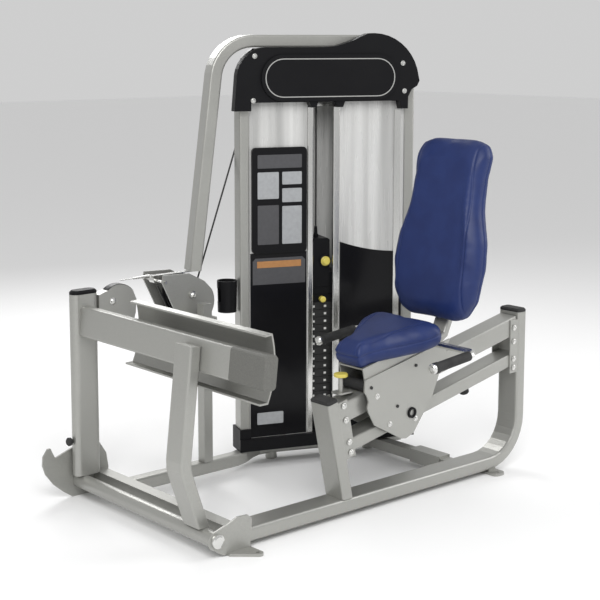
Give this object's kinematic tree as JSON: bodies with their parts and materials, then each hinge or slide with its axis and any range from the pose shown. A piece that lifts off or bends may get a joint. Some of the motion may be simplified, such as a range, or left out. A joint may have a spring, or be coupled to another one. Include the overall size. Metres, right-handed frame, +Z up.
{
  "type": "seated leg press machine",
  "caption": "Seated leg press: a swinging foot plate lifts a cable-driven weight stack in a tower, facing a padded seat carriage on inclined rails.",
  "frame": {"origin": "centre of the machine's footprint, on the floor", "axes": "+X from the foot plate's pivot towards the seat, +Y across towards the weight tower, +Z up"},
  "size_m": [1.72, 1.1444, 1.728],
  "materials": {
    "silver_powder_coat": "satin metallic powder coat",
    "black_rubber": "matt",
    "bright_steel": "polished",
    "black_plastic": "satin",
    "grey_plastic": "matt",
    "black_cast_iron": "satin black paint",
    "smoked_panel": "gloss",
    "yellow_plastic": "gloss",
    "black_cable": "satin",
    "blue_upholstery": "fine grained vinyl"
  },
  "bodies": {
    "frame": {"side_rail": "silver_powder_coat", "front_leg": "silver_powder_coat", "upper_seat_rail": "silver_powder_coat", "lower_seat_rail": "silver_powder_coat", "side_rail_foot": "silver_powder_coat", "front_cross_member": "silver_powder_coat", "tower_base_tube": "silver_powder_coat", "near_fan_plate": "silver_powder_coat", "far_fan_plate": "silver_powder_coat", "lower_post": "silver_powder_coat", "arch_tube": "silver_powder_coat", "left_pillar": "silver_powder_coat", "rear_post_cap": "black_rubber", "front_leg_cap": "black_rubber", "rail_stop_knob": "black_rubber", "pivot_shaft": "bright_steel", "window_strip_left": "bright_steel", "window_strip_right": "bright_steel", "guide_rods": "bright_steel", "base_tray": "black_plastic", "header_front_cover": "black_plastic", "header_rear_cover": "black_plastic", "instruction_board": "black_plastic", "bottle_holder": "black_plastic", "resting_weight_plates": "black_cast_iron", "left_shield": "smoked_panel", "right_shield": "smoked_panel", "rear_shield": "smoked_panel", "stack_cable": "black_cable", "main_cable": "black_cable"},
    "press_arm": {"arm_pivot_tube": "silver_powder_coat", "arm_post": "silver_powder_coat", "arm_post_cap": "black_plastic", "bent_arm": "silver_powder_coat", "arm_beam": "silver_powder_coat", "beam_end_sleeve": "grey_plastic", "foot_plate": "silver_powder_coat", "arm_cam": "silver_powder_coat", "arm_bumper": "black_rubber"},
    "pull_link": {"pull_link": "bright_steel"},
    "redirect_pulley": {"redirect_pulley": "black_plastic"},
    "corner_roller": {"corner_roller": "bright_steel"},
    "header_pulley_left": {"header_pulley_left": "bright_steel"},
    "header_pulley_right": {"header_pulley_right": "bright_steel"},
    "lifted_stack": {"stack_head": "black_plastic"},
    "selector_pin": {"selector_pin": "yellow_plastic"},
    "add_weight_knob": {"add_weight_knob": "yellow_plastic"},
    "seat_carriage": {"near_carriage_plate": "silver_powder_coat", "far_carriage_plate": "silver_powder_coat", "seat_deck": "silver_powder_coat", "back_upright": "silver_powder_coat", "handle_bar": "bright_steel", "near_grip": "black_rubber", "far_grip": "black_rubber", "seat_pad": "blue_upholstery", "back_pad": "blue_upholstery"},
    "front_top_roller": {"front_top_roller": "black_rubber"},
    "rear_top_roller": {"rear_top_roller": "black_rubber"},
    "under_roller": {"under_roller": "black_rubber"},
    "release_lever": {"release_lever": "silver_powder_coat"}
  },
  "joints": [
    {"name": "arm_swing", "type": "hinge", "parent": "frame", "child": "press_arm", "pos_m": [-0.706, 0.1178, 0.061], "axis": [0, -1, 0], "range_deg": [0, 20]},
    {"name": "link_draw", "type": "slide", "parent": "frame", "child": "pull_link", "axis": [-0.998, 0, 0.0639], "range_m": [0, 0.235]},
    {"name": "redirect_spin", "type": "hinge", "parent": "frame", "child": "redirect_pulley", "pos_m": [-0.25, 0.5078, 0.728], "axis": [0, 1, 0], "range_deg": [0, 170]},
    {"name": "corner_roller_spin", "type": "hinge", "parent": "frame", "child": "corner_roller", "pos_m": [-0.374, 0.5078, 0.79], "axis": [0, -1, 0], "range_deg": [0, 1080]},
    {"name": "header_left_spin", "type": "hinge", "parent": "frame", "child": "header_pulley_left", "pos_m": [0.11412, 0.40965, 1.56], "axis": [-0.3502, -0.9367, 0], "range_deg": [0, 275]},
    {"name": "header_right_spin", "type": "hinge", "parent": "frame", "child": "header_pulley_right", "pos_m": [0.2594, 0.35533, 1.56], "axis": [-0.3502, -0.9367, 0], "range_deg": [0, 275]},
    {"name": "stack_lift", "type": "slide", "parent": "frame", "child": "lifted_stack", "axis": [0, 0, 1], "range_m": [0, 0.235], "deforming": ["stack_cable"]},
    {"name": "selector_pin_pull", "type": "slide", "parent": "lifted_stack", "child": "selector_pin", "axis": [-0.3502, -0.9367, 0], "range_m": [0, 0.1]},
    {"name": "add_weight_turn", "type": "hinge", "parent": "lifted_stack", "child": "add_weight_knob", "pos_m": [0.3028, 0.28038, 0.822], "axis": [-0.3502, -0.9367, 0], "range_deg": [0, 90]},
    {"name": "carriage_slide", "type": "slide", "parent": "frame", "child": "seat_carriage", "axis": [0.9789, 0, 0.2045], "range_m": [0, 0.28]},
    {"name": "front_top_roller_spin", "type": "hinge", "parent": "seat_carriage", "child": "front_top_roller", "pos_m": [-0.0156, -0.2522, 0.4684], "axis": [0, 1, 0], "range_deg": [0, 805]},
    {"name": "rear_top_roller_spin", "type": "hinge", "parent": "seat_carriage", "child": "rear_top_roller", "pos_m": [0.21149, -0.2522, 0.51584], "axis": [0, 1, 0], "range_deg": [0, 805]},
    {"name": "under_roller_spin", "type": "hinge", "parent": "seat_carriage", "child": "under_roller", "pos_m": [0.11771, -0.2522, 0.37795], "axis": [0, -1, 0], "range_deg": [0, 805]},
    {"name": "release_lever_lift", "type": "hinge", "parent": "seat_carriage", "child": "release_lever", "pos_m": [-0.05, -0.2522, 0.452], "axis": [0, 1, 0], "range_deg": [0, 12], "stiffness_Nm_per_rad": 2, "springref_deg": -2.86}
  ],
  "couplings": [
    {"joint": "link_draw", "follows": "arm_swing", "m_per_rad": 0.6695},
    {"joint": "stack_lift", "follows": "arm_swing", "m_per_rad": 0.6695},
    {"joint": "redirect_spin", "follows": "arm_swing", "ratio": 8.45},
    {"joint": "corner_roller_spin", "follows": "arm_swing", "ratio": 53.5},
    {"joint": "header_left_spin", "follows": "arm_swing", "ratio": 13.65},
    {"joint": "header_right_spin", "follows": "arm_swing", "ratio": 13.65},
    {"joint": "front_top_roller_spin", "follows": "carriage_slide", "rad_per_m": 50},
    {"joint": "rear_top_roller_spin", "follows": "carriage_slide", "rad_per_m": 50},
    {"joint": "under_roller_spin", "follows": "carriage_slide", "rad_per_m": 50}
  ]
}
